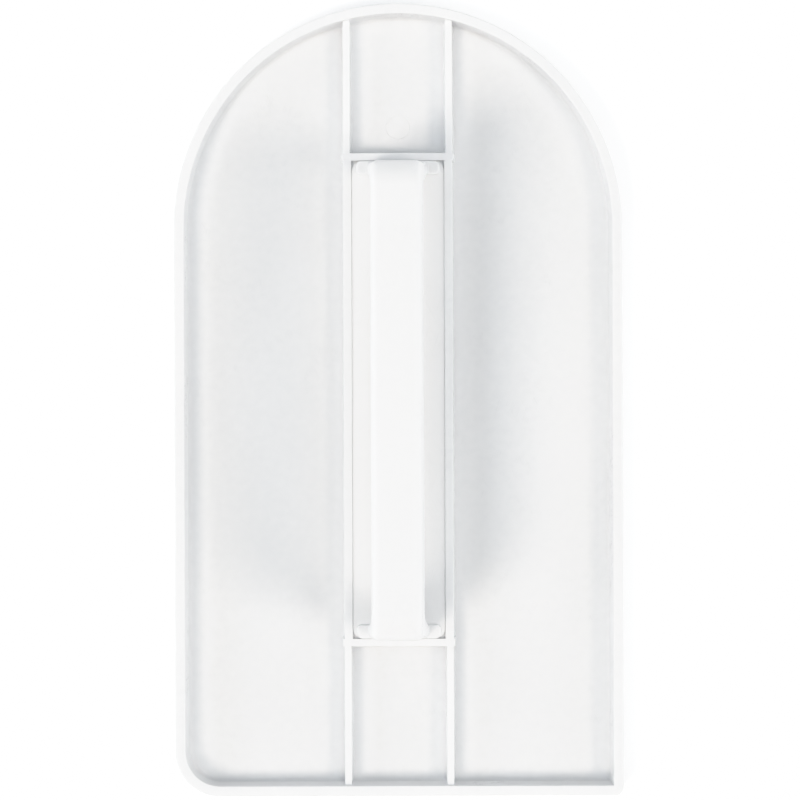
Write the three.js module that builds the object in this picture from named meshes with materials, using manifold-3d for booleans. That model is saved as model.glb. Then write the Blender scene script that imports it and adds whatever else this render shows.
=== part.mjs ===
// Fondant smoother: a hand tool that polishes the icing on a cake.
// A flat glide plate with an upstanding rim and stiffening ribs carries an arched handle, whose
// base frame drops into a box of ribs in the middle of the plate.
// Millimetres, +Z up, +Y towards the half-round end, origin at the middle of the working face.

import * as THREE from "three";
import { mergeVertices } from "three/addons/utils/BufferGeometryUtils.js";
import Module from "manifold-3d";

const wasm = await Module();
wasm.setup();

// Glide plate
const PLATE_LENGTH = 159;
const PLATE_WIDTH = 90;
const ROUND_CORNER = 9; // radius of the lower left corner of the plate
const SQUARE_CORNER = 1.8; // radius of the lower right corner, left nearly square
const FLOOR_TOP = 2;
const RIM_HEIGHT = 8;
const RIM_WIDTH = 2.05; // across the top of the rim
const RIM_DRAFT = 0.35; // how far the rim's inner face leans in, from its top to its foot
const RIM_EDGE = 0.4; // rounding of the rim's outer edge
const RIM_INNER_EDGE = 0.2;
const GLIDE_EDGE = 0.6; // rounded edge round the working face
const FLOOR_FILLET = 0.8;

// Ribs of the glide plate
const RIB_HEIGHT = 6.8;
const RIB_THICKNESS = 1.36; // at the top
const RIB_DRAFT = 0.12; // extra half thickness at the foot
const RIB_SPACING = 20.56; // between the middles of the two long ribs
const CROSS_RIB_THICKNESS = 1.55; // at the top
const CROSS_RIB_OVERHANG = 0.3; // past the outer faces of the long ribs
const BOX_LENGTH = 96; // inside, between the two cross ribs
const BOX_HALF_WIDTH = 9.3; // inside, where the long ribs thicken along the handle
const RIB_EMBED = 0.9; // how far a rib's end runs into the rim
const BOX_WALL_EMBED = 0.6; // how far the thicker part runs into the cross ribs
const CORNER_FILL_TOP = 5.7; // of the fill between each corner of the box and the handle's frame
const LOCATING_BLOCK = 3; // side of each low block inside the corners of the handle's skirt
const LOCATING_BLOCK_TOP = 3.8;
const LOCATING_BLOCK_X = 5.6; // middle of a block
const LOCATING_BLOCK_Y = 44.1;

// Handle
const HANDLE_TOP = 45;
const GRIP_BOTTOM = 31;
const GRIP_TOP_HALF_WIDTH = 4.7; // at the top of the grip
const POST_HALF_WIDTH = 6; // at the flange
const HANDLE_EDGE = 1.2; // rounding along the edges that the hand meets
const HANDLE_CORNER = 5; // outer corner of the arch, seen from the side
const FINGER_CORNER = 4; // inner corner of the arch, seen from the side
const POST_END = 47.8; // outer face of a post at the flange
const POST_END_TOP = 46.1; // the same face just under the outer corner
const POST_INNER_FOOT = 45.2; // inner face of a post at the flange
const POST_INNER_SLOPE = 0.13; // how far that face leans towards the middle, per unit of height
const HANDLE_WALL = 1.8;
const WEB_THICKNESS = 1.2; // of the walls across the hollow of the grip
const WEB_BOTTOM = 34;
const WEB_COUNT = 5;
const WEB_PITCH = 13; // from the middle of one wall to the next

// Frame round the handle's foot
const FLANGE_HALF_WIDTH = 9.27;
const FLANGE_HALF_LENGTH = 47.97;
const FLANGE_CORNER = 2; // radius of the frame's corners
const CORNER_GAP = 0.03; // between a corner of the flange and the fill
const FLANGE_DRAFT = 0.12; // how much smaller the flange is at its foot
const FLANGE_TOP = 6.6;
const FLANGE_THICKNESS = 1.9;
const FLANGE_EDGE = 0.15; // rounding of the edge round the flange's top
const SKIRT = 1.6; // wall under the flange's edge, which reaches down towards the floor
const FIT_GAP = 0.3; // between the skirt's foot and the floor
const STEP_LENGTH = 2.9; // of the raised step across each end of the flange
const STEP_HALF_WIDTH = 8.45;
const STEP_HEIGHT = 0.6;
const STEP_EMBED = 0.5; // how far the step runs down into the flange
const STEP_EDGE = 0.15; // rounding round the step's top
const STEP_INSET = 0.03; // from the flange's end to the step's outer face

// Fineness of the round parts
const PLATE_ARC_STEPS = 28;
const CORNER_STEPS = 6;
const SMALL_ARC_STEPS = 3;
const SMALLEST_RADIUS = 0.05;
const MERGE_DISTANCE = 1e-4;

const OVERRUN = 5; // how far a cutting solid reaches past what it cuts

// Points of a rectangle with round corners, counter-clockwise, moved inwards by inset.
// Corners run from (+x, +y) round to (+x, -y), each with its own radius and number of steps.
function roundedRectangle(halfX, halfY, radii, steps, inset = 0) {
  const signs = [
    [1, 1],
    [-1, 1],
    [-1, -1],
    [1, -1],
  ];
  const points = [];
  signs.forEach(([sx, sy], corner) => {
    const radius = Math.max(radii[corner] - inset, SMALLEST_RADIUS);
    const centreX = sx * (halfX - inset - radius);
    const centreY = sy * (halfY - inset - radius);
    for (let i = 0; i <= steps[corner]; i++) {
      const angle = ((corner + i / steps[corner]) * Math.PI) / 2;
      points.push(
        new THREE.Vector2(
          centreX + radius * Math.cos(angle),
          centreY + radius * Math.sin(angle),
        ),
      );
    }
  });
  return points;
}

// A closed solid through a stack of rings, each { points, z } with the same number of points.
// The first and last rings are closed by flat caps.
function ringLoft(rings) {
  const count = rings[0].points.length;
  const positions = rings.flatMap(({ points, z }) => points.flatMap((p) => [p.x, p.y, z]));
  const index = [];
  for (let ring = 0; ring < rings.length - 1; ring++) {
    for (let i = 0; i < count; i++) {
      const a = ring * count + i;
      const b = ring * count + ((i + 1) % count);
      index.push(a, b, b + count, a, b + count, a + count);
    }
  }
  const last = (rings.length - 1) * count;
  for (const [a, b, c] of THREE.ShapeUtils.triangulateShape(rings[0].points, [])) {
    index.push(c, b, a);
  }
  for (const [a, b, c] of THREE.ShapeUtils.triangulateShape(rings.at(-1).points, [])) {
    index.push(last + a, last + b, last + c);
  }
  const geometry = new THREE.BufferGeometry();
  geometry.setAttribute("position", new THREE.Float32BufferAttribute(positions, 3));
  geometry.setIndex(index);
  return geometry;
}

// Insets and heights along a quarter round, from (inset0, z0) to (inset1, z1).
// It leaves the first point vertically when upFirst is true, otherwise level.
function quarterRound(inset0, z0, inset1, z1, upFirst) {
  const stations = [];
  for (let i = 0; i <= SMALL_ARC_STEPS; i++) {
    const angle = ((i / SMALL_ARC_STEPS) * Math.PI) / 2;
    const along = upFirst ? 1 - Math.cos(angle) : Math.sin(angle);
    const up = upFirst ? Math.sin(angle) : 1 - Math.cos(angle);
    stations.push([inset0 + (inset1 - inset0) * along, z0 + (z1 - z0) * up]);
  }
  return stations;
}

// The closed solid inside a geometry's surface.
function solidOf(geometry) {
  const bare = geometry.clone();
  bare.deleteAttribute("normal");
  bare.deleteAttribute("uv");
  const merged = mergeVertices(bare, MERGE_DISTANCE);
  return new wasm.Manifold(
    new wasm.Mesh({
      numProp: 3,
      vertProperties: new Float32Array(merged.attributes.position.array),
      triVerts: new Uint32Array(merged.index.array),
    }),
  );
}

// A named mesh over the surface of a solid.
function meshOf(name, solid, material) {
  const { vertProperties, triVerts } = solid.getMesh();
  const geometry = new THREE.BufferGeometry();
  geometry.setAttribute("position", new THREE.BufferAttribute(vertProperties, 3));
  geometry.setIndex(new THREE.BufferAttribute(triVerts, 1));
  geometry.computeVertexNormals();
  const mesh = new THREE.Mesh(geometry, material);
  mesh.name = name;
  return mesh;
}

// A plain block between two values on each axis.
function block(x0, x1, y0, y1, z0, z1) {
  const geometry = new THREE.BoxGeometry(x1 - x0, y1 - y0, z1 - z0);
  geometry.translate((x0 + x1) / 2, (y0 + y1) / 2, (z0 + z1) / 2);
  return solidOf(geometry);
}

// The dish of the plate: working face, outer wall, rim and floor in one closed surface.
function plateDish() {
  const radii = [PLATE_WIDTH / 2, PLATE_WIDTH / 2, ROUND_CORNER, SQUARE_CORNER];
  const steps = [PLATE_ARC_STEPS, PLATE_ARC_STEPS, 2 * CORNER_STEPS, CORNER_STEPS];
  const inside = RIM_WIDTH - RIM_INNER_EDGE;
  const shoulder = RIM_HEIGHT - RIM_INNER_EDGE;
  const rimFoot = RIM_WIDTH + RIM_DRAFT;
  const stations = [
    ...quarterRound(GLIDE_EDGE, 0, 0, GLIDE_EDGE, false),
    ...quarterRound(0, RIM_HEIGHT - RIM_EDGE, RIM_EDGE, RIM_HEIGHT, true),
    ...quarterRound(inside, RIM_HEIGHT, RIM_WIDTH, shoulder, false),
    ...quarterRound(rimFoot, FLOOR_TOP + FLOOR_FILLET, rimFoot + FLOOR_FILLET, FLOOR_TOP, true),
  ];
  const rings = stations.map(([inset, z]) => ({
    points: roundedRectangle(PLATE_WIDTH / 2, PLATE_LENGTH / 2, radii, steps, inset),
    z,
  }));
  return solidOf(ringLoft(rings));
}

// An upright bar on the floor, thicker at its foot by the draft.
function rib(halfX, halfY, centreX, centreY) {
  const radii = Array(4).fill(SMALLEST_RADIUS);
  const steps = Array(4).fill(1);
  const rings = [
    { points: roundedRectangle(halfX + RIB_DRAFT, halfY + RIB_DRAFT, radii, steps), z: FLOOR_TOP / 2 },
    { points: roundedRectangle(halfX, halfY, radii, steps), z: RIB_HEIGHT },
  ];
  return solidOf(ringLoft(rings)).translate(centreX, centreY, 0);
}

// A long rib, from the half-round end of the rim to the straight one.
function longRib(side) {
  const ribX = RIB_SPACING / 2;
  const arcCentreY = PLATE_LENGTH / 2 - PLATE_WIDTH / 2;
  const innerRadius = PLATE_WIDTH / 2 - RIM_WIDTH;
  const upperEnd = arcCentreY + Math.sqrt(innerRadius ** 2 - ribX ** 2) + RIB_EMBED;
  const lowerEnd = -PLATE_LENGTH / 2 + RIM_WIDTH - RIB_EMBED;
  return rib(RIB_THICKNESS / 2, (upperEnd - lowerEnd) / 2, side * ribX, (upperEnd + lowerEnd) / 2);
}

// The rib across an end of the handle's box.
function crossRib(side) {
  const halfX = (RIB_SPACING + RIB_THICKNESS) / 2 + CROSS_RIB_OVERHANG;
  const centreY = side * (BOX_LENGTH + CROSS_RIB_THICKNESS) / 2;
  return rib(halfX, CROSS_RIB_THICKNESS / 2, 0, centreY);
}

// The thicker part of a long rib, along the handle and on the side that faces it.
function boxWall(side) {
  const outerX = (RIB_SPACING + RIB_THICKNESS / 2) / 2;
  const halfX = (outerX - BOX_HALF_WIDTH) / 2;
  const halfY = BOX_LENGTH / 2 + BOX_WALL_EMBED;
  return rib(halfX, halfY, side * (outerX - halfX), 0);
}

// The fill in a corner of the box, hollowed to go round the corner of the handle's frame.
function cornerFill(sideX, sideY) {
  const outerX = BOX_HALF_WIDTH + RIB_THICKNESS / 2;
  const outerY = BOX_LENGTH / 2 + RIB_THICKNESS / 2;
  const centreX = FLANGE_HALF_WIDTH - FLANGE_CORNER;
  const centreY = FLANGE_HALF_LENGTH - FLANGE_CORNER;
  const profile = new THREE.Shape();
  profile.moveTo(outerX, outerY);
  profile.lineTo(centreX, outerY);
  profile.absarc(centreX, centreY, FLANGE_CORNER + CORNER_GAP, Math.PI / 2, 0, true);
  profile.lineTo(outerX, centreY);
  const geometry = new THREE.ExtrudeGeometry(profile, {
    depth: CORNER_FILL_TOP - FLOOR_TOP / 2,
    curveSegments: CORNER_STEPS,
    bevelEnabled: false,
  });
  const fill = solidOf(geometry).translate(0, 0, FLOOR_TOP / 2);
  return fill.scale([sideX, sideY, 1]);
}

// Low blocks on the floor that fit inside the corners of the handle's skirt.
function locatingBlock(sideX, sideY) {
  const half = LOCATING_BLOCK / 2;
  const x = sideX * LOCATING_BLOCK_X;
  const y = sideY * LOCATING_BLOCK_Y;
  return block(x - half, x + half, y - half, y + half, FLOOR_TOP / 2, LOCATING_BLOCK_TOP);
}

// The glide plate: dish, ribs, corner fills and locating blocks.
function glidePlate() {
  let plate = plateDish();
  for (const side of [-1, 1]) {
    plate = plate.add(longRib(side)).add(crossRib(side)).add(boxWall(side));
    for (const sideY of [-1, 1]) {
      plate = plate.add(locatingBlock(side, sideY)).add(cornerFill(side, sideY));
    }
  }
  return plate;
}

// Half width of the handle at a height: it grows evenly downwards.
function handleHalfWidth(z) {
  const slope = (POST_HALF_WIDTH - GRIP_TOP_HALF_WIDTH) / (HANDLE_TOP - FLANGE_TOP);
  return GRIP_TOP_HALF_WIDTH + slope * (HANDLE_TOP - z);
}

// Outer face of a post at a height, measured along the handle.
function postEnd(z) {
  const slope = (POST_END - POST_END_TOP) / (HANDLE_TOP - HANDLE_CORNER - FLANGE_TOP);
  return POST_END_TOP + slope * (HANDLE_TOP - HANDLE_CORNER - z);
}

// Inner face of a post at a height, measured along the handle.
function postInside(z) {
  return POST_INNER_FOOT - POST_INNER_SLOPE * (z - FLANGE_TOP);
}

// Side view of the arch, in (along the handle, up), from the flange's underside to the top.
function archProfile() {
  const foot = FLANGE_TOP - FLANGE_THICKNESS;
  const cornerZ = HANDLE_TOP - HANDLE_CORNER;
  const lean = Math.atan(POST_INNER_SLOPE);
  const fingerZ = GRIP_BOTTOM - FINGER_CORNER;
  const fingerY = postInside(fingerZ) - FINGER_CORNER / Math.cos(lean);
  const profile = new THREE.Shape();
  profile.moveTo(-postEnd(foot), foot);
  profile.lineTo(-postInside(foot), foot);
  profile.absarc(-fingerY, fingerZ, FINGER_CORNER, Math.PI - lean, Math.PI / 2, true);
  profile.absarc(fingerY, fingerZ, FINGER_CORNER, Math.PI / 2, lean, true);
  profile.lineTo(postInside(foot), foot);
  profile.lineTo(postEnd(foot), foot);
  profile.absarc(POST_END_TOP - HANDLE_CORNER, cornerZ, HANDLE_CORNER, 0, Math.PI / 2, false);
  profile.absarc(HANDLE_CORNER - POST_END_TOP, cornerZ, HANDLE_CORNER, Math.PI / 2, Math.PI, false);
  return profile;
}

// Side view of the hollow inside the arch, open downwards.
function hollowProfile() {
  const cornerZ = HANDLE_TOP - HANDLE_CORNER;
  const radius = HANDLE_CORNER - HANDLE_WALL;
  const endTop = POST_END_TOP - HANDLE_WALL;
  const profile = new THREE.Shape();
  profile.moveTo(HANDLE_WALL - postEnd(0), 0);
  profile.lineTo(postEnd(0) - HANDLE_WALL, 0);
  profile.absarc(endTop - radius, cornerZ, radius, 0, Math.PI / 2, false);
  profile.absarc(radius - endTop, cornerZ, radius, Math.PI / 2, Math.PI, false);
  return profile;
}

// A side view given a width across X that follows the handle's draft, less a wall on each side.
// It is extruded one unit to each side of its middle first, and stretched to its width after that.
function acrossHandle(profile, wall, edge) {
  const bevel = edge / GRIP_TOP_HALF_WIDTH;
  const geometry = new THREE.ExtrudeGeometry(profile, {
    depth: 2 * (1 - bevel),
    curveSegments: CORNER_STEPS,
    bevelEnabled: edge > 0,
    bevelThickness: bevel,
    bevelSize: edge,
    bevelOffset: -edge,
    bevelSegments: SMALL_ARC_STEPS,
  });
  geometry.translate(0, 0, bevel - 1);
  const position = geometry.attributes.position;
  for (let i = 0; i < position.count; i++) {
    const y = position.getX(i);
    const z = position.getY(i);
    position.setXYZ(i, position.getZ(i) * (handleHalfWidth(z) - wall), y, z);
  }
  return solidOf(geometry);
}

// Outline of the frame round the handle's foot.
function flangeOutline(inset) {
  const radii = Array(4).fill(FLANGE_CORNER);
  const steps = Array(4).fill(CORNER_STEPS);
  return roundedRectangle(FLANGE_HALF_WIDTH, FLANGE_HALF_LENGTH, radii, steps, inset);
}

// A solid through outlines of the frame, each with its own inset and height.
function flangeLoft(stations) {
  return solidOf(ringLoft(stations.map(([inset, z]) => ({ points: flangeOutline(inset), z }))));
}

// The frame itself: a plate with a skirt under its edge.
function flange() {
  const frame = flangeLoft([
    [FLANGE_DRAFT, FLOOR_TOP + FIT_GAP],
    ...quarterRound(0, FLANGE_TOP - FLANGE_EDGE, FLANGE_EDGE, FLANGE_TOP, true),
  ]);
  const reliefX = FLANGE_HALF_WIDTH - SKIRT;
  const reliefY = FLANGE_HALF_LENGTH - SKIRT;
  const underside = FLANGE_TOP - FLANGE_THICKNESS;
  return frame.subtract(block(-reliefX, reliefX, -reliefY, reliefY, -OVERRUN, underside));
}

// Raised steps across the two ends of the flange, on either side of the posts.
function endSteps() {
  const top = FLANGE_TOP + STEP_HEIGHT;
  const raised = flangeLoft([
    [STEP_INSET, FLANGE_TOP - STEP_EMBED],
    ...quarterRound(STEP_INSET, top - STEP_EDGE, STEP_EDGE, top, true),
  ]);
  const halfX = STEP_HALF_WIDTH;
  const outerY = FLANGE_HALF_LENGTH + OVERRUN;
  const innerY = FLANGE_HALF_LENGTH - STEP_LENGTH;
  const whole = block(-halfX, halfX, -outerY, outerY, 0, HANDLE_TOP);
  const middle = block(-outerY, outerY, -innerY, innerY, -OVERRUN, HANDLE_TOP + OVERRUN);
  return raised.intersect(whole.subtract(middle));
}

// A wall across the hollow of the grip, which stiffens it.
function gripWeb(place) {
  const y = (place - (WEB_COUNT - 1) / 2) * WEB_PITCH;
  const halfX = GRIP_TOP_HALF_WIDTH - HANDLE_WALL / 2;
  const top = HANDLE_TOP - HANDLE_WALL / 2;
  return block(-halfX, halfX, y - WEB_THICKNESS / 2, y + WEB_THICKNESS / 2, WEB_BOTTOM, top);
}

// The handle: arch, frame and steps, hollowed from below, with walls across the hollow.
function handle() {
  let shell = acrossHandle(archProfile(), 0, HANDLE_EDGE).add(flange()).add(endSteps());
  shell = shell.subtract(acrossHandle(hollowProfile(), HANDLE_WALL, 0));
  for (let place = 0; place < WEB_COUNT; place++) {
    shell = shell.add(gripWeb(place));
  }
  return shell;
}

// White moulded plastic, the same on both pieces
const whitePlastic = { color: 0xf4f6f7, roughness: 0.42, metalness: 0 };

const smoother = new THREE.Group();
smoother.add(meshOf("glide_plate", glidePlate(), new THREE.MeshStandardMaterial(whitePlastic)));
smoother.add(meshOf("handle", handle(), new THREE.MeshStandardMaterial(whitePlastic)));

export default smoother;
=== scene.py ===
"""Looks of a fondant smoother: a white moulded glide plate with an arched handle.

Both mouldings are built here with their fillets, rounds and mould marks, at the sizes of the
CAD frame. They are built in millimetres, and finish_mesh makes metres of them.
"""

import math

import bmesh
import bpy
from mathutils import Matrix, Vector


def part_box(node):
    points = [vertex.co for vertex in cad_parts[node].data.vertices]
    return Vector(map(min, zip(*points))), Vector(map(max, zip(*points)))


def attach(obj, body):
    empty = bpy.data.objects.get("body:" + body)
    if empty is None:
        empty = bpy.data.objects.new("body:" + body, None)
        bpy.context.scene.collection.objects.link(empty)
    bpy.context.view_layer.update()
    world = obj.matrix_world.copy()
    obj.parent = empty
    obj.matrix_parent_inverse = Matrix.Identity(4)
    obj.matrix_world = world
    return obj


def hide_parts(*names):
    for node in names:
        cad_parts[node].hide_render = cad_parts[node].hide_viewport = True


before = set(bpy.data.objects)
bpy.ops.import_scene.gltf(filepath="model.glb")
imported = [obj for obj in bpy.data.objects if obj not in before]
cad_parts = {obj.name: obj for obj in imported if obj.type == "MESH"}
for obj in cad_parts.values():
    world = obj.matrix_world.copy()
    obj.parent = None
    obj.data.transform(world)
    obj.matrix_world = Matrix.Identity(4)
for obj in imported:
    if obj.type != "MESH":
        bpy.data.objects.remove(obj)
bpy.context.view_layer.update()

MM = 0.001

# Overall sizes, from the CAD solids.
plate_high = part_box("glide_plate")[1] / MM
handle_low, handle_high = (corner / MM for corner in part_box("handle"))
PLATE_HALF_X = plate_high.x
PLATE_HALF_Y = plate_high.y
RIM_TOP = plate_high.z
HANDLE_TOP = handle_high.z
FLANGE_HALF_X = handle_high.x
FLANGE_END_Y = handle_high.y
FLANGE_FOOT = handle_low.z

# Glide plate
FLOOR_TOP = 2.0
ROUND_CORNER = 9.0
SQUARE_CORNER = 1.8
RIM_WIDTH = 2.05
RIM_DRAFT = 0.35
RIM_OUTER_EDGE = 0.4
RIM_INNER_EDGE = 0.25
GLIDE_EDGE = 0.6
FLOOR_FILLET = 0.8

# Ribs
RIB_TOP = 6.8
RIB_THICKNESS = 1.36  # at the top
RIB_DRAFT = 0.12  # extra half thickness at the foot
RIB_FILLET = 0.45
RIB_EDGE = 0.12
RIB_SPACING = 20.56  # between the middles of the two long ribs
RIB_EMBED = 0.9  # how far a rib's end runs into the rim
CROSS_RIB_THICKNESS = 1.55
CROSS_RIB_OVERHANG = 0.3
BOX_LENGTH = 96.0  # inside, between the two cross ribs
BOX_HALF_WIDTH = 9.3  # inside, where the long ribs thicken along the handle
BOX_WALL_EMBED = 0.6
CORNER_FILL_TOP = 5.7

# Handle
GRIP_BOTTOM = 31.0
GRIP_HALF_WIDTH = 4.7  # at the top of the grip
POST_HALF_WIDTH = 6.0  # at the frame round the foot
HANDLE_EDGE = 1.2
HANDLE_CORNER = 5.0  # outer corner of the arch, seen from the side
FINGER_CORNER = 4.0  # inner corner of the arch, seen from the side
POST_END = 47.8  # outer face of a post at the frame
POST_END_TOP = 46.1  # the same face just under the outer corner
POST_INNER_FOOT = 45.2  # inner face of a post at the frame
POST_INNER_SLOPE = 0.13  # how far that face leans towards the middle, per unit of height
POST_FILLET = 0.5
HANDLE_WALL = 1.8
LIP_OUTER_EDGE = 0.6  # of the open underside of the grip
LIP_INNER_EDGE = 0.25
HOLLOW_FILLET = 0.3
WEB_THICKNESS = 1.2  # of the walls across the hollow of the grip
WEB_EDGE = 0.15
WEB_BOTTOM = 34.0
WEB_COUNT = 5
WEB_PITCH = 13.0

# Frame round the handle's foot
FLANGE_TOP = 6.6
FLANGE_THICKNESS = 1.9
FLANGE_CORNER = 2.0
CORNER_GAP = 0.03  # between a corner of the frame and the fill in the box
FLANGE_DRAFT = 0.12
FLANGE_EDGE = 0.05
SKIRT = 1.6  # wall under the frame's edge
SKIRT_CORNER = 0.3
SLOT_HALF_X = 4.4
SLOT_HALF_Y = 46.2
SLOT_CORNER = 1.0
SLOT_EDGE = 0.2
STEP_LENGTH = 2.9  # of the raised step across each end of the frame
STEP_HALF_X = 8.45
STEP_HEIGHT = 0.6
STEP_SETBACK = 0.03
STEP_EDGE = 0.5
STEP_FINE_EDGE = 0.1  # along the frame's outline, where the step is trimmed
STEP_INNER_CORNER = 1.0
STEP_OUTER_CORNER = 1.9
STEP_TOP = FLANGE_TOP + STEP_HEIGHT

# Nub that the mould's gate leaves on the lower post
GATE_X = -0.4
GATE_HEIGHT = 9.0
GATE_RADIUS = 0.45
GATE_RISE = 0.1

# Mark of the ejector pin on the floor, past the handle's upper end
PIN_MARK_RADIUS = 2.35
PIN_MARK_DEPTH = 0.08
PIN_MARK_Y = 55.0

# White plastic. Sizes and depths are in millimetres, SUBSURFACE_DEPTH is in metres.
PLATE_PALE = (0.864, 0.866, 0.869)
PLATE_DEEP = (0.823, 0.827, 0.832)
PLATE_ROUGHNESS = 0.4
HANDLE_PALE = (0.86, 0.862, 0.864)
HANDLE_DEEP = (0.845, 0.847, 0.85)
HANDLE_ROUGHNESS = 0.36
PLASTIC_IOR = 1.49
PLASTIC_SHINE = 0.3
SATIN_VARIATION = 0.04
SUBSURFACE = 0.5
SUBSURFACE_DEPTH = 0.0008
FLOW_SIZE = 22.0
FLOW_STRETCH = 2.5
MOTTLE_SIZE = 1.6
MOTTLE_SHARE = 0.4
SHADING_RANGE = (0.3, 0.7)  # part of the noise's range that the shading uses
WAVE_SIZE = 14.0
WAVE_DEPTH = 0.05
GRAIN_SIZE = 0.28
GRAIN_DEPTH = 0.008

# Painted shade on the plate's floor: its colour is darkened, standing in for shade between the rim
# and ribs, and this fades out above it
FLOOR_PAINTED_SHADE = 0.055
PAINTED_SHADE_UP_TO = 2.1
PAINTED_SHADE_CLEAR_FROM = 2.9

# Hairlines from wiping, in patches
SCRATCH_WIDTH = 0.1
SCRATCH_STRETCH = 90
SCRATCH_TURNS = (math.radians(28), math.radians(-17))
SCRATCH_RANGE = (0.67, 0.72)  # part of the noise's range where a hairline begins
SCRATCH_DEPTH = 0.006
SCRATCH_POLISH = 0.12  # how much less rough a hairline is
PATCH_SIZE = 16.0
PATCH_RANGE = (0.45, 0.62)

# Fineness of the round parts
ROUND_STEPS = 5
RIB_CORNER_STEPS = 3
CORNER_STEPS = 10
ARCH_STEPS = 16
PLATE_ARC_STEPS = 56
SMALLEST_RADIUS = 0.02

OVERRUN = 5.0  # how far a cutter reaches past what it cuts
EMBED = 0.02  # overlap that joins two solids cleanly
WELD = 0.0005  # points closer than this become one
SHARP_ANGLE = math.radians(32)


# ---------------------------------------------------------------- outlines and lofts


def direction(angle):
    """The unit vector at an angle."""
    return Vector((math.cos(angle), math.sin(angle)))


def rounded_rectangle(half_x, half_y, radii, steps, inset=0.0):
    """Points of a rectangle with round corners, counter-clockwise, moved inwards by inset."""
    points = []
    for corner, (sx, sy) in enumerate([(1, 1), (-1, 1), (-1, -1), (1, -1)]):
        radius = max(radii[corner] - inset, SMALLEST_RADIUS)
        cx = sx * (half_x - inset - radius)
        cy = sy * (half_y - inset - radius)
        for i in range(steps[corner] + 1):
            angle = (corner + i / steps[corner]) * math.pi / 2
            points.append((cx + radius * math.cos(angle), cy + radius * math.sin(angle)))
    return points


def quarter_round(inset0, z0, inset1, z1, up_first, steps=ROUND_STEPS):
    """Insets and heights along a quarter round. up_first: it leaves the first point upright."""
    stations = []
    for i in range(steps + 1):
        angle = i / steps * math.pi / 2
        along = 1 - math.cos(angle) if up_first else math.sin(angle)
        up = math.sin(angle) if up_first else 1 - math.cos(angle)
        stations.append((inset0 + (inset1 - inset0) * along, z0 + (z1 - z0) * up))
    return stations


def loft(rings):
    """A closed bmesh through a list of rings of (x, y, z), with flat faces on its two ends."""
    bm = bmesh.new()
    made = [[bm.verts.new(point) for point in ring] for ring in rings]
    count = len(made[0])
    for low, high in zip(made, made[1:]):
        for i in range(count):
            j = (i + 1) % count
            bm.faces.new((low[i], low[j], high[j], high[i]))
    bm.faces.new(reversed(made[0]))
    bm.faces.new(made[-1])
    return bm


def level_loft(outline, stations):
    """A loft of level rings: outline(inset) gives each ring's points."""
    return loft([[(x, y, z) for x, y in outline(inset)] for inset, z in stations])


def to_object(name, bm):
    """Makes an object of a bmesh, and frees the bmesh."""
    bmesh.ops.recalc_face_normals(bm, faces=bm.faces)
    mesh = bpy.data.meshes.new(name)
    bm.to_mesh(mesh)
    bm.free()
    obj = bpy.data.objects.new(name, mesh)
    bpy.context.scene.collection.objects.link(obj)
    return obj


def remove_object(obj):
    """Removes an object and its mesh."""
    mesh = obj.data
    bpy.data.objects.remove(obj)
    bpy.data.meshes.remove(mesh)


def take_mesh(obj):
    """The bmesh of an object, which is removed."""
    bm = bmesh.new()
    bm.from_mesh(obj.data)
    remove_object(obj)
    return bm


def combine(target, bm, operation):
    """Joins bm to target, cuts it away or keeps what they share, and frees it."""
    tool = to_object("tool", bm)
    modifier = target.modifiers.new("combine", "BOOLEAN")
    modifier.operation = operation
    modifier.solver = "MANIFOLD"
    modifier.object = tool
    depsgraph = bpy.context.evaluated_depsgraph_get()
    result = bpy.data.meshes.new_from_object(target.evaluated_get(depsgraph), depsgraph=depsgraph)
    old = target.data
    target.modifiers.clear()
    target.data = result
    bpy.data.meshes.remove(old)
    remove_object(tool)


# ---------------------------------------------------------------- glide plate


def plate_outline(inset):
    """Outline of the plate: a half-round end, a round corner and a square one."""
    radii = (PLATE_HALF_X, PLATE_HALF_X, ROUND_CORNER, SQUARE_CORNER)
    steps = (PLATE_ARC_STEPS, PLATE_ARC_STEPS, 2 * CORNER_STEPS, CORNER_STEPS)
    return rounded_rectangle(PLATE_HALF_X, PLATE_HALF_Y, radii, steps, inset)


def plate_dish():
    """Working face, outer wall, rim and floor in one closed surface."""
    foot = RIM_WIDTH + RIM_DRAFT
    outer = RIM_OUTER_EDGE
    inner = RIM_INNER_EDGE
    stations = [
        *quarter_round(GLIDE_EDGE, 0, 0, GLIDE_EDGE, False),
        *quarter_round(0, RIM_TOP - outer, outer, RIM_TOP, True),
        *quarter_round(RIM_WIDTH - inner, RIM_TOP, RIM_WIDTH, RIM_TOP - inner, False),
        *quarter_round(foot, FLOOR_TOP + FLOOR_FILLET, foot + FLOOR_FILLET, FLOOR_TOP, True),
    ]
    return level_loft(plate_outline, stations)


def rib(half_x, half_y, centre_x, centre_y):
    """An upright rib with a fillet at its foot and rounded edges on its top."""
    fillet = RIB_DRAFT + RIB_FILLET
    stations = [
        (-fillet, FLOOR_TOP / 2),
        *quarter_round(-fillet, FLOOR_TOP - EMBED, -RIB_DRAFT, FLOOR_TOP + RIB_FILLET, False),
        *quarter_round(0, RIB_TOP - RIB_EDGE, RIB_EDGE, RIB_TOP, True),
    ]

    def outline(inset):
        steps = (RIB_CORNER_STEPS,) * 4
        corners = rounded_rectangle(half_x, half_y, (RIB_EDGE,) * 4, steps, inset)
        return [(centre_x + x, centre_y + y) for x, y in corners]

    return level_loft(outline, stations)


def long_rib(side):
    """A long rib, from the half-round end of the rim to the straight one."""
    rib_x = RIB_SPACING / 2
    inner_radius = PLATE_HALF_X - RIM_WIDTH
    arc_centre_y = PLATE_HALF_Y - PLATE_HALF_X
    upper = arc_centre_y + math.sqrt(inner_radius**2 - rib_x**2) + RIB_EMBED
    lower = -PLATE_HALF_Y + RIM_WIDTH - RIB_EMBED
    return rib(RIB_THICKNESS / 2, (upper - lower) / 2, side * rib_x, (upper + lower) / 2)


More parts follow.
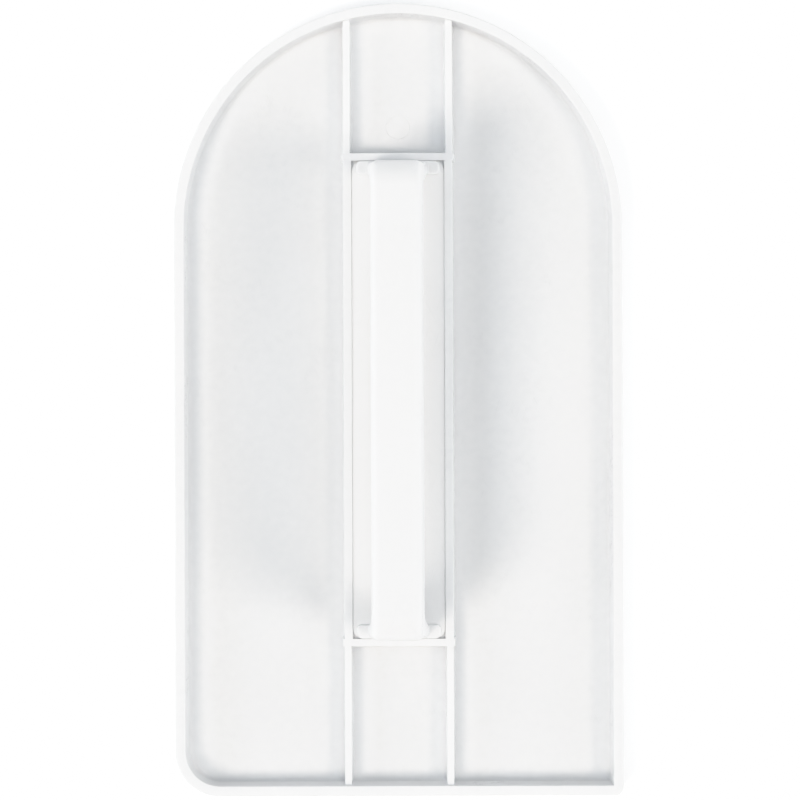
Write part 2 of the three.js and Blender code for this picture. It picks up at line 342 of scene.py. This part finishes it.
def cross_rib(side):
    """The rib across an end of the handle's box."""
    half_x = (RIB_SPACING + RIB_THICKNESS) / 2 + CROSS_RIB_OVERHANG
    centre_y = side * (BOX_LENGTH + CROSS_RIB_THICKNESS) / 2
    return rib(half_x, CROSS_RIB_THICKNESS / 2, 0, centre_y)


def pin_mark():
    """The shallow round that an ejector pin leaves in the floor, as a cutter."""
    stations = [(0, FLOOR_TOP - PIN_MARK_DEPTH), (-PIN_MARK_DEPTH, FLOOR_TOP + EMBED)]

    def outline(inset):
        radius = PIN_MARK_RADIUS - inset
        circle = rounded_rectangle(radius, radius, (radius,) * 4, (CORNER_STEPS,) * 4)
        return [(x, PIN_MARK_Y + y) for x, y in circle]

    return level_loft(outline, stations)


def box_wall(side):
    """The thicker part of a long rib, along the handle."""
    outer_x = (RIB_SPACING + RIB_THICKNESS / 2) / 2
    half_x = (outer_x - BOX_HALF_WIDTH) / 2
    return rib(half_x, BOX_LENGTH / 2 + BOX_WALL_EMBED, side * (outer_x - half_x), 0)


def corner_fill(side_x, side_y):
    """The fill in a corner of the box, hollowed to go round the corner of the handle's frame."""
    outer_x = BOX_HALF_WIDTH + RIB_THICKNESS / 2
    outer_y = BOX_LENGTH / 2 + RIB_THICKNESS / 2
    centre = Vector((FLANGE_HALF_X - FLANGE_CORNER, FLANGE_END_Y - FLANGE_CORNER))
    radius = FLANGE_CORNER + CORNER_GAP
    points = [Vector((outer_x, centre.y)), Vector((outer_x, outer_y)), Vector((centre.x, outer_y))]
    for i in range(CORNER_STEPS + 1):
        points.append(centre + radius * direction((1 - i / CORNER_STEPS) * math.pi / 2))
    levels = (FLOOR_TOP / 2, CORNER_FILL_TOP)
    return loft([[(side_x * x, side_y * y, z) for x, y in points] for z in levels])


def glide_plate():
    """The plate, made of its dish, ribs and corner fills."""
    plate = to_object("glide_plate_moulding", plate_dish())
    for side in (-1, 1):
        combine(plate, long_rib(side), "UNION")
        combine(plate, cross_rib(side), "UNION")
        combine(plate, box_wall(side), "UNION")
        for side_y in (-1, 1):
            combine(plate, corner_fill(side, side_y), "UNION")
    combine(plate, pin_mark(), "DIFFERENCE")
    return plate


# ---------------------------------------------------------------- handle


def handle_half_width(z):
    """Half width of the handle at a height: it grows evenly downwards."""
    slope = (POST_HALF_WIDTH - GRIP_HALF_WIDTH) / (HANDLE_TOP - FLANGE_TOP)
    return GRIP_HALF_WIDTH + slope * (HANDLE_TOP - z)


def foot_flare(z):
    """How far the fillet at a post's foot reaches out at a height."""
    rise = min(max(z - STEP_TOP, 0), POST_FILLET)
    return POST_FILLET - math.sqrt(POST_FILLET**2 - (POST_FILLET - rise) ** 2)


def post_end(z):
    """Outer face of a post at a height, measured along the handle."""
    slope = (POST_END - POST_END_TOP) / (HANDLE_TOP - HANDLE_CORNER - FLANGE_TOP)
    return POST_END_TOP + slope * (HANDLE_TOP - HANDLE_CORNER - z)


def post_inside(z):
    """Inner face of a post at a height, measured along the handle."""
    return POST_INNER_FOOT - POST_INNER_SLOPE * (z - FLANGE_TOP)


def arch_stations():
    """Side view of one half of the arch, foot first. Each station has a point (y, z) on the outer
    side, on the roof of the hollow and on the finger side, and the two sides' normals into the
    wall."""
    lean = math.atan(POST_INNER_SLOPE)
    corner = Vector((POST_END_TOP - HANDLE_CORNER, HANDLE_TOP - HANDLE_CORNER))
    finger_z = GRIP_BOTTOM - FINGER_CORNER
    finger = Vector((post_inside(finger_z) - FINGER_CORNER / math.cos(lean), finger_z))
    inward = Vector((-1, 0))
    outward = Vector((math.cos(lean), math.sin(lean)))
    stations = []
    for z in (FLANGE_TOP - FLANGE_THICKNESS - 2 * EMBED, *fillet_heights(), finger_z / 2):
        outer = Vector((post_end(z), z))
        roof = Vector((post_end(z) - HANDLE_WALL, z))
        stations.append((outer, roof, Vector((post_inside(z), z)), inward, outward))
    for i in range(ARCH_STEPS + 1):
        share = i / ARCH_STEPS
        ray = direction(share * math.pi / 2)
        finger_ray = direction(lean + share * (math.pi / 2 - lean))
        outer = corner + HANDLE_CORNER * ray
        roof = corner + (HANDLE_CORNER - HANDLE_WALL) * ray
        stations.append((outer, roof, finger + FINGER_CORNER * finger_ray, -ray, finger_ray))
    return stations


def fillet_heights():
    """Heights of the rings through the fillet at a post's foot."""
    turns = [i / ROUND_STEPS * math.pi / 2 for i in range(ROUND_STEPS + 1)]
    return [STEP_TOP + POST_FILLET * (1 - math.cos(turn)) for turn in turns]


def arch_section(station):
    """Half of the section through the arch at a station, as (x, y, z) from the top to the hollow."""
    outer, roof, finger, inward, outward = station
    points = []

    def add(base, normal, depth, from_side):
        y, z = base + normal * depth
        flare = foot_flare(z) if from_side < HANDLE_WALL / 2 else 0
        points.append((handle_half_width(z) + flare - from_side, y, z))

    turns = [i / ROUND_STEPS * math.pi / 2 for i in range(ROUND_STEPS + 1)]
    rounds = [(1 - math.cos(turn), 1 - math.sin(turn)) for turn in turns]
    for early, late in rounds:
        add(outer, inward, HANDLE_EDGE * early, HANDLE_EDGE * late)
    for early, late in rounds:
        add(finger, outward, LIP_OUTER_EDGE * late, LIP_OUTER_EDGE * early)
    for early, late in rounds:
        add(finger, outward, LIP_INNER_EDGE * early, HANDLE_WALL - LIP_INNER_EDGE * late)
    for early, late in rounds:
        add(roof, inward, HOLLOW_FILLET * late, HANDLE_WALL + HOLLOW_FILLET * early)
    return points


def arch():
    """The posts and the grip: a channel, open towards the fingers, bent into an arch."""
    half = [arch_section(station) for station in arch_stations()]
    sections = half + [[(x, -y, z) for x, y, z in section] for section in reversed(half)]
    return loft([section + [(-x, y, z) for x, y, z in reversed(section)] for section in sections])


def flange_outline(inset):
    """Outline of the frame round the handle's foot."""
    radii = (FLANGE_CORNER,) * 4
    return rounded_rectangle(FLANGE_HALF_X, FLANGE_END_Y, radii, (CORNER_STEPS,) * 4, inset)


def flange_plate():
    """The frame round the handle's foot, still solid."""
    edge = FLANGE_EDGE
    stations = [
        (FLANGE_DRAFT, FLANGE_FOOT),
        *quarter_round(0, FLANGE_TOP - edge, edge, FLANGE_TOP, True),
    ]
    return level_loft(flange_outline, stations)


def prism(half_x, y0, y1, z0, z1, corner):
    """An upright block with round corners."""
    half_y = (y1 - y0) / 2
    centre_y = (y0 + y1) / 2
    corners = rounded_rectangle(half_x, half_y, (corner,) * 4, (ROUND_STEPS,) * 4)
    return loft([[(x, centre_y + y, z) for x, y in corners] for z in (z0, z1)])


def finger_slot():
    """Cutter for the slot under the grip, which rounds the slot's upper edge."""
    edge = SLOT_EDGE
    stations = [
        (0, FLANGE_FOOT - OVERRUN),
        *quarter_round(0, FLANGE_TOP - edge, -edge, FLANGE_TOP + EMBED, True),
        (-edge, FLANGE_TOP + OVERRUN),
    ]

    def outline(inset):
        radii = (SLOT_CORNER,) * 4
        return rounded_rectangle(SLOT_HALF_X, SLOT_HALF_Y, radii, (CORNER_STEPS,) * 4, inset)

    return level_loft(outline, stations)


def end_step(side):
    """Raised step across one end of the flange, flush with the flange's outline."""
    half_y = (STEP_LENGTH + STEP_EDGE) / 2
    centre_y = FLANGE_END_Y + STEP_EDGE - half_y
    radii = (STEP_OUTER_CORNER,) * 2 + (STEP_INNER_CORNER,) * 2
    foot = FLANGE_TOP - 2 * FLANGE_EDGE
    stations = [
        (0, foot),
        *quarter_round(0, STEP_TOP - STEP_EDGE, STEP_EDGE, STEP_TOP, True),
    ]

    def outline(inset):
        corners = rounded_rectangle(STEP_HALF_X, half_y, radii, (CORNER_STEPS,) * 4, inset)
        return [(side * x, side * (centre_y + y)) for x, y in corners]

    step = to_object("end_step", level_loft(outline, stations))
    trim = STEP_SETBACK + STEP_FINE_EDGE
    column = [
        (STEP_SETBACK, foot - EMBED),
        *quarter_round(STEP_SETBACK, STEP_TOP - STEP_FINE_EDGE, trim, STEP_TOP + EMBED, True),
    ]
    combine(step, level_loft(flange_outline, column), "INTERSECT")
    return take_mesh(step)


def flange():
    """The frame round the handle's foot, with its skirt, steps and slot."""
    frame_object = to_object("flange", flange_plate())
    relief_x = FLANGE_HALF_X - SKIRT
    relief_y = FLANGE_END_Y - SKIRT
    underside = FLANGE_TOP - FLANGE_THICKNESS
    relief = prism(relief_x, -relief_y, relief_y, -OVERRUN, underside, SKIRT_CORNER)
    combine(frame_object, relief, "DIFFERENCE")
    for side in (-1, 1):
        combine(frame_object, end_step(side), "UNION")
    combine(frame_object, finger_slot(), "DIFFERENCE")
    return take_mesh(frame_object)


def grip_web(place):
    """A wall across the hollow of the grip."""
    y = (place - (WEB_COUNT - 1) / 2) * WEB_PITCH
    half_x = GRIP_HALF_WIDTH - HANDLE_WALL / 2
    top = HANDLE_TOP - HANDLE_WALL / 2
    half_thickness = WEB_THICKNESS / 2
    return prism(half_x, y - half_thickness, y + half_thickness, WEB_BOTTOM, top, WEB_EDGE)


def gate_nub():
    """What the mould's gate leaves on the end face of the lower post."""
    face = post_end(GATE_HEIGHT)
    stations = [(0, face - GATE_RADIUS), (0, face + GATE_RISE / 2), (GATE_RISE, face + GATE_RISE)]
    rings = []
    for inset, reach in stations:
        radius = GATE_RADIUS - inset
        circle = rounded_rectangle(radius, radius, (radius,) * 4, (ROUND_STEPS,) * 4)
        rings.append([(GATE_X + x, -reach, GATE_HEIGHT + z) for x, z in circle])
    return loft(rings)


def handle():
    """The handle, made of its arch, frame, walls and gate nub."""
    whole = to_object("handle_moulding", arch())
    combine(whole, flange(), "UNION")
    for place in range(WEB_COUNT):
        combine(whole, grip_web(place), "UNION")
    combine(whole, gate_nub(), "UNION")
    return whole


# ---------------------------------------------------------------- surface finish


def finish_mesh(obj):
    """Cleans up after the joins, scales to metres and sets smooth and sharp edges."""
    bm = bmesh.new()
    bm.from_mesh(obj.data)
    bmesh.ops.remove_doubles(bm, verts=bm.verts, dist=WELD)
    bmesh.ops.dissolve_degenerate(bm, edges=bm.edges, dist=WELD)
    bmesh.ops.scale(bm, vec=(MM, MM, MM), verts=bm.verts)
    for face in bm.faces:
        face.smooth = True
    for edge in bm.edges:
        edge.smooth = len(edge.link_faces) == 2 and edge.calc_face_angle() < SHARP_ANGLE
    bm.to_mesh(obj.data)
    bm.free()
    normals = obj.modifiers.new("even_normals", "WEIGHTED_NORMAL")
    normals.keep_sharp = True


# ---------------------------------------------------------------- materials


class Recipe:
    """Adds nodes to a material or a world, fed by one kind of coordinates."""

    def __init__(self, node_tree, coordinates):
        self.nodes = node_tree.nodes
        self.links = node_tree.links
        self.place = self.nodes.new("ShaderNodeTexCoord").outputs[coordinates]

    def feed(self, socket, value):
        """Gives a socket a link or a plain value."""
        if isinstance(value, bpy.types.NodeSocket):
            self.links.new(value, socket)
        else:
            socket.default_value = value

    def parts(self):
        """X, Y and Z of the coordinates."""
        split = self.nodes.new("ShaderNodeSeparateXYZ")
        self.links.new(self.place, split.inputs["Vector"])
        return split.outputs

    def math(self, operation, *values):
        """The result of an operation on sockets or plain numbers."""
        node = self.nodes.new("ShaderNodeMath")
        node.operation = operation
        for socket, value in zip(node.inputs, values):
            self.feed(socket, value)
        return node.outputs["Value"]

    def between(self, share, first, second):
        """A number between two numbers."""
        node = self.nodes.new("ShaderNodeMix")
        self.feed(node.inputs["Factor"], share)
        self.feed(node.inputs["A"], first)
        self.feed(node.inputs["B"], second)
        return node.outputs["Result"]

    def noise(self, size, detail=2.0, stretch=1.0, turn=0.0):
        """Noise with spots of a size in millimetres, drawn out along a line turned about Z."""
        mapping = self.nodes.new("ShaderNodeMapping")
        mapping.vector_type = "TEXTURE"
        mapping.inputs["Rotation"].default_value = (0, 0, turn)
        mapping.inputs["Scale"].default_value = (size * MM, size * stretch * MM, size * MM)
        texture = self.nodes.new("ShaderNodeTexNoise")
        texture.inputs["Scale"].default_value = 1
        texture.inputs["Detail"].default_value = detail
        self.links.new(self.place, mapping.inputs["Vector"])
        self.links.new(mapping.outputs["Vector"], texture.inputs["Vector"])
        return texture.outputs["Fac"]

    def ramp(self, value, start, end, low=0.0, high=1.0):
        """A value taken smoothly from low to high between start and end."""
        node = self.nodes.new("ShaderNodeMapRange")
        node.interpolation_type = "SMOOTHSTEP"
        node.inputs["From Min"].default_value = start
        node.inputs["From Max"].default_value = end
        node.inputs["To Min"].default_value = low
        node.inputs["To Max"].default_value = high
        self.links.new(value, node.inputs["Value"])
        return node.outputs["Result"]

    def blend(self, factor, first, second):
        """A colour between two colours."""
        node = self.nodes.new("ShaderNodeMix")
        node.data_type = "RGBA"
        self.feed(node.inputs["Factor"], factor)
        self.feed(node.inputs["A"], first)
        self.feed(node.inputs["B"], second)
        return node.outputs["Result"]

    def bump(self, relief, depth, below=None):
        """Relief of a depth in millimetres, over the relief below it."""
        node = self.nodes.new("ShaderNodeBump")
        node.inputs["Distance"].default_value = depth * MM
        self.links.new(relief, node.inputs["Height"])
        if below:
            self.links.new(below, node.inputs["Normal"])
        return node.outputs["Normal"]


def scratches(recipe):
    """Fine hairlines in two directions, 1 where there is one, in patches."""
    lines = [
        recipe.ramp(recipe.noise(SCRATCH_WIDTH, 0, SCRATCH_STRETCH, turn), *SCRATCH_RANGE)
        for turn in SCRATCH_TURNS
    ]
    patches = recipe.ramp(recipe.noise(PATCH_SIZE, 1), *PATCH_RANGE)
    return recipe.math("MULTIPLY", recipe.math("MAXIMUM", *lines), patches)


def plastic_shader(material):
    """Sets what is the same all over a white plastic, and returns its shader."""
    material.use_nodes = True
    shader = material.node_tree.nodes["Principled BSDF"]
    shader.inputs["IOR"].default_value = PLASTIC_IOR
    shader.inputs["Specular IOR Level"].default_value = PLASTIC_SHINE
    shader.inputs["Subsurface Weight"].default_value = SUBSURFACE
    shader.inputs["Subsurface Scale"].default_value = SUBSURFACE_DEPTH
    shader.inputs["Subsurface Radius"].default_value = (1, 1, 1)
    return shader


def moulded_plastic(name, pale, deep, roughness):
    """White moulded plastic: faint flow shading, eroded mould texture, slight waviness.

    The floor of the plate is painted a little darker than the rest, as painted shade.
    """
    material = bpy.data.materials.new(name)
    shader = plastic_shader(material)
    recipe = Recipe(material.node_tree, "Object")

    flow = recipe.noise(FLOW_SIZE, 3, FLOW_STRETCH)
    mottle = recipe.noise(MOTTLE_SIZE, 4)
    shading = recipe.between(MOTTLE_SHARE, flow, mottle)
    shading = recipe.ramp(shading, *SHADING_RANGE)
    colour = recipe.blend(shading, (*deep, 1), (*pale, 1))
    height = recipe.parts()["Z"]
    # Painted shade: the plate's floor is blended towards black, fading out above the floor.
    painted_floor_shade = recipe.ramp(height, PAINTED_SHADE_UP_TO * MM, PAINTED_SHADE_CLEAR_FROM * MM, FLOOR_PAINTED_SHADE, 0)
    colour = recipe.blend(painted_floor_shade, colour, (0, 0, 0, 1))
    hairlines = scratches(recipe)

    smooth = roughness - SATIN_VARIATION
    coarse = roughness + SATIN_VARIATION
    satin = recipe.ramp(mottle, *SHADING_RANGE, smooth, coarse)
    polish = recipe.math("MULTIPLY", hairlines, SCRATCH_POLISH)
    satin = recipe.math("SUBTRACT", satin, polish)
    relief = recipe.bump(recipe.noise(WAVE_SIZE, 1), WAVE_DEPTH)
    relief = recipe.bump(recipe.noise(GRAIN_SIZE, 3), GRAIN_DEPTH, relief)
    relief = recipe.bump(recipe.math("SUBTRACT", 1, hairlines), SCRATCH_DEPTH, relief)
    recipe.feed(shader.inputs["Base Color"], colour)
    recipe.feed(shader.inputs["Roughness"], satin)
    recipe.feed(shader.inputs["Normal"], relief)
    return material


def paper(name):
    """The pale floor, which glows a little so that it stays white next to the object."""
    material = bpy.data.materials.new(name)
    material.use_nodes = True
    shader = material.node_tree.nodes["Principled BSDF"]
    shader.inputs["Base Color"].default_value = (*FLOOR_COLOUR, 1)
    shader.inputs["Roughness"].default_value = 1
    shader.inputs["Emission Color"].default_value = (1, 1, 1, 1)
    shader.inputs["Emission Strength"].default_value = FLOOR_GLOW
    return material


# ---------------------------------------------------------------- studio


# Camera, in metres
SENSOR_WIDTH = 36  # of the film, in millimetres
CAMERA_HEIGHT = 0.75
CAMERA_X = 0.0066
CAMERA_Y = 0.003
CAMERA_ROLL = math.radians(-0.2)
AIM_X = 0.00027
AIM_Y = -0.00011
WIDTH_SEEN = 0.16209

# Brightness of the studio by direction. The limits are shares of a direction's length: towards +X
# for LEFT_BEGIN and RIGHT_BEGIN, +Y for CEILING_BACK_BEGIN, +Z for the other two.
WALL_LIGHT = 0.1
LEFT_LIGHT = 1.7
LEFT_BEGIN = (-0.55, -0.72)
RIGHT_LIGHT = 1.4
RIGHT_BEGIN = (0.55, 0.72)
CEILING_LIGHT = 0.12
CEILING_BACK_LIGHT = 0.2
CEILING_BACK_BEGIN = (-0.05, 0.45)
WALLS_END = (0.56, 0.68)
SOFT_BOX_LIGHT = 1.88
SOFT_BOX_BEGIN = (0.87, 0.94)
SKY_COLOUR = (0.95, 1.0, 1.045)
KEY_TOWARDS = (-0.5, -0.38, 1)
KEY_LIGHT = 1.05
FILL_TOWARDS = (0.74, -0.25, 1)
FILL_LIGHT = 0.77
SUN_ANGLE = math.radians(18)
LAMP_COLOUR = (1.0, 0.915, 0.83)

# Floor under the object, in metres
FLOOR_SIZE = 3.0
FLOOR_COLOUR = (1, 1, 1)
FLOOR_GLOW = 0.17

# The camera's response: light that comes in, as a share of what it records as white, and the
# brightness that it records
WHITE_LEVEL = 1.18
HIGHLIGHT_CURVE = ((0, 0), (0.678, 0.8), (0.763, 0.883), (0.847, 0.93), (1, 1))


def sun(name, towards, energy):
    """A distant soft lamp in the direction given."""
    data = bpy.data.lights.new(name, "SUN")
    data.energy = energy
    data.angle = SUN_ANGLE
    data.color = LAMP_COLOUR
    light = bpy.data.objects.new(name, data)
    light.rotation_euler = Vector(towards).to_track_quat("Z", "Y").to_euler()
    bpy.context.scene.collection.objects.link(light)


def sky():
    """A studio with dim walls, bright panels on the left and right, and a soft box overhead."""
    world = bpy.data.worlds.new("studio")
    world.use_nodes = True
    recipe = Recipe(world.node_tree, "Generated")
    x, y, z = recipe.parts()
    walls = recipe.between(recipe.ramp(x, *LEFT_BEGIN), WALL_LIGHT, LEFT_LIGHT)
    walls = recipe.between(recipe.ramp(x, *RIGHT_BEGIN), walls, RIGHT_LIGHT)
    ceiling = recipe.ramp(y, *CEILING_BACK_BEGIN, CEILING_LIGHT, CEILING_BACK_LIGHT)
    light = recipe.between(recipe.ramp(z, *WALLS_END), walls, ceiling)
    light = recipe.between(recipe.ramp(z, *SOFT_BOX_BEGIN), light, SOFT_BOX_LIGHT)
    background = world.node_tree.nodes["Background"]
    background.inputs["Color"].default_value = (*SKY_COLOUR, 1)
    recipe.feed(background.inputs["Strength"], light)
    return world


def film(view):
    """Sets the camera's response, which rolls off the highlights."""
    view.view_transform = "Standard"
    view.use_curve_mapping = True
    mapping = view.curve_mapping
    mapping.white_level = (WHITE_LEVEL,) * 3
    mapping.extend = "HORIZONTAL"
    curve = mapping.curves[3]
    while len(curve.points) < len(HIGHLIGHT_CURVE):
        curve.points.new(0.5, 0.5)
    for point, place in zip(curve.points, HIGHLIGHT_CURVE):
        point.location = place
        point.handle_type = "VECTOR"
    mapping.update()


def studio():
    """Light, sky and the pale floor."""
    scene = bpy.context.scene
    film(scene.view_settings)
    scene.world = sky()
    sun("key", KEY_TOWARDS, KEY_LIGHT)
    sun("fill", FILL_TOWARDS, FILL_LIGHT)

    bm = bmesh.new()
    bmesh.ops.create_grid(bm, x_segments=1, y_segments=1, size=FLOOR_SIZE)
    floor = to_object("floor", bm)
    floor.data.materials.append(paper("floor_paper"))


def camera():
    """The camera, almost straight above the middle of the plate."""
    data = bpy.data.cameras.new("camera")
    data.sensor_width = SENSOR_WIDTH
    data.lens = data.sensor_width * CAMERA_HEIGHT / WIDTH_SEEN
    cam = bpy.data.objects.new("camera", data)
    cam.location = (CAMERA_X, CAMERA_Y, CAMERA_HEIGHT)
    tilt_x = math.atan((AIM_Y - CAMERA_Y) / CAMERA_HEIGHT)
    tilt_y = math.atan((CAMERA_X - AIM_X) / CAMERA_HEIGHT)
    cam.rotation_euler = (tilt_x, tilt_y, CAMERA_ROLL)
    bpy.context.scene.collection.objects.link(cam)
    bpy.context.scene.camera = cam


def show(piece, node, material):
    """Makes a finished piece stand for its CAD node."""
    finish_mesh(piece)
    piece.data.materials.clear()
    piece.data.materials.append(material)
    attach(piece, "root")
    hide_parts(node)


plate_plastic = moulded_plastic("plate_plastic", PLATE_PALE, PLATE_DEEP, PLATE_ROUGHNESS)
handle_plastic = moulded_plastic("handle_plastic", HANDLE_PALE, HANDLE_DEEP, HANDLE_ROUGHNESS)
show(glide_plate(), "glide_plate", plate_plastic)
show(handle(), "handle", handle_plastic)
studio()
camera()
